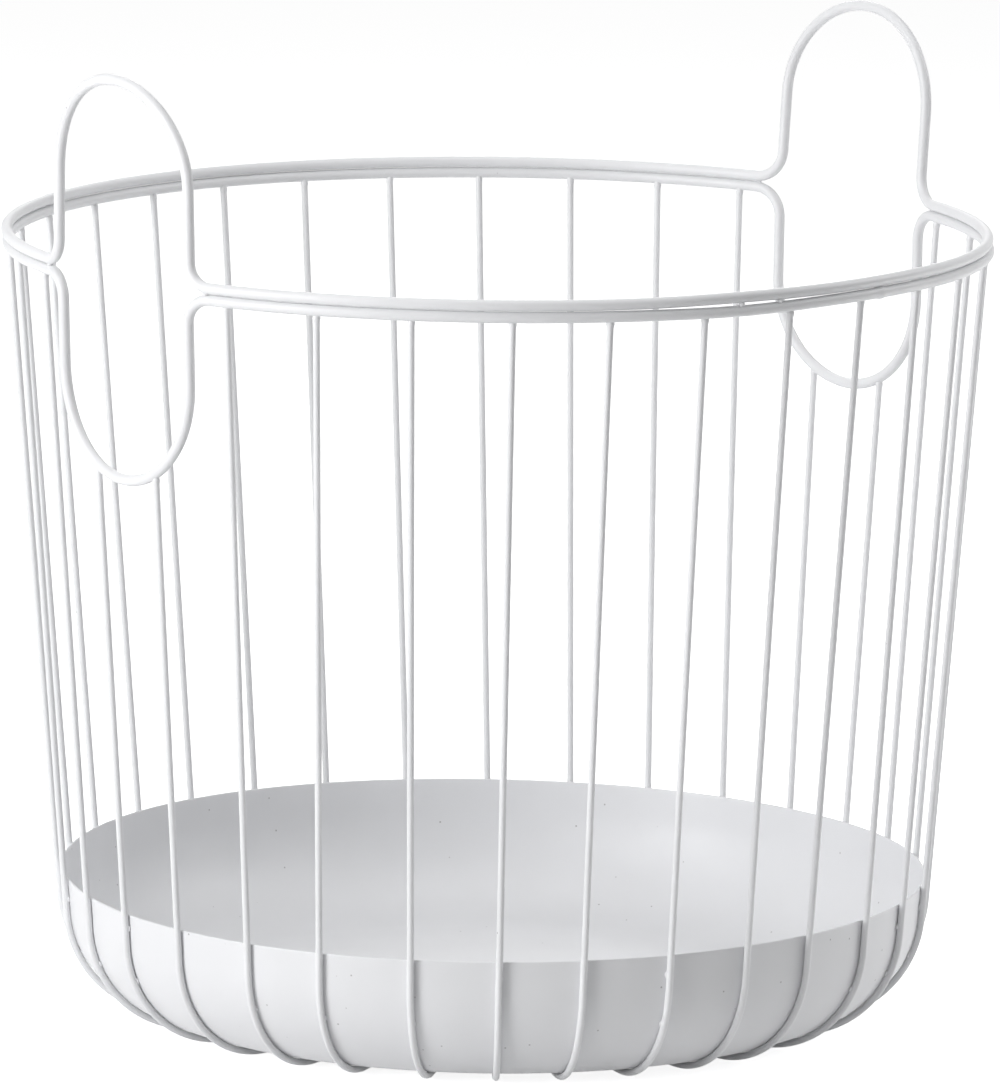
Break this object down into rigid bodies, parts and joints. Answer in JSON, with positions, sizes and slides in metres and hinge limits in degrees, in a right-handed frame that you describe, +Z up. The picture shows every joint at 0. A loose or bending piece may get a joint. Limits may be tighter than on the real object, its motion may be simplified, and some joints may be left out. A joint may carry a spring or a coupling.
{
  "type": "wire storage basket",
  "caption": "Tall round tapered bath basket of white coated wire, with a double hoop rim, an oval hand opening on two sides and a shallow sheet tray as its base.",
  "frame": {"origin": "on the ground under the middle of the basket, where the lowest wires rest", "axes": "+Z up along the basket's axis, +X towards the middle of one of the two hand openings, +Y towards a side without one"},
  "size_m": [0.4024, 0.3998, 0.3998],
  "materials": {
    "powder_coat_wire": "satin white coat on round wire",
    "powder_coat_tray": "satin white coat on pressed sheet"
  },
  "bodies": {
    "root": {"upper_rim": "powder_coat_wire", "lower_rim": "powder_coat_wire", "tray": "powder_coat_tray", "rib_01": "powder_coat_wire", "rib_02": "powder_coat_wire", "rib_03": "powder_coat_wire", "rib_04": "powder_coat_wire", "rib_05": "powder_coat_wire", "rib_06": "powder_coat_wire", "rib_07": "powder_coat_wire", "rib_08": "powder_coat_wire", "rib_09": "powder_coat_wire", "rib_10": "powder_coat_wire", "rib_11": "powder_coat_wire", "rib_12": "powder_coat_wire", "rib_13": "powder_coat_wire", "rib_14": "powder_coat_wire", "rib_15": "powder_coat_wire", "rib_16": "powder_coat_wire", "rib_17": "powder_coat_wire", "rib_18": "powder_coat_wire", "rib_19": "powder_coat_wire", "rib_20": "powder_coat_wire", "rib_21": "powder_coat_wire", "rib_22": "powder_coat_wire", "rib_23": "powder_coat_wire", "rib_24": "powder_coat_wire", "rib_25": "powder_coat_wire", "rib_26": "powder_coat_wire", "rib_27": "powder_coat_wire", "rib_28": "powder_coat_wire", "rib_29": "powder_coat_wire", "rib_30": "powder_coat_wire", "rib_31": "powder_coat_wire", "rib_32": "powder_coat_wire"}
  },
  "joints": []
}
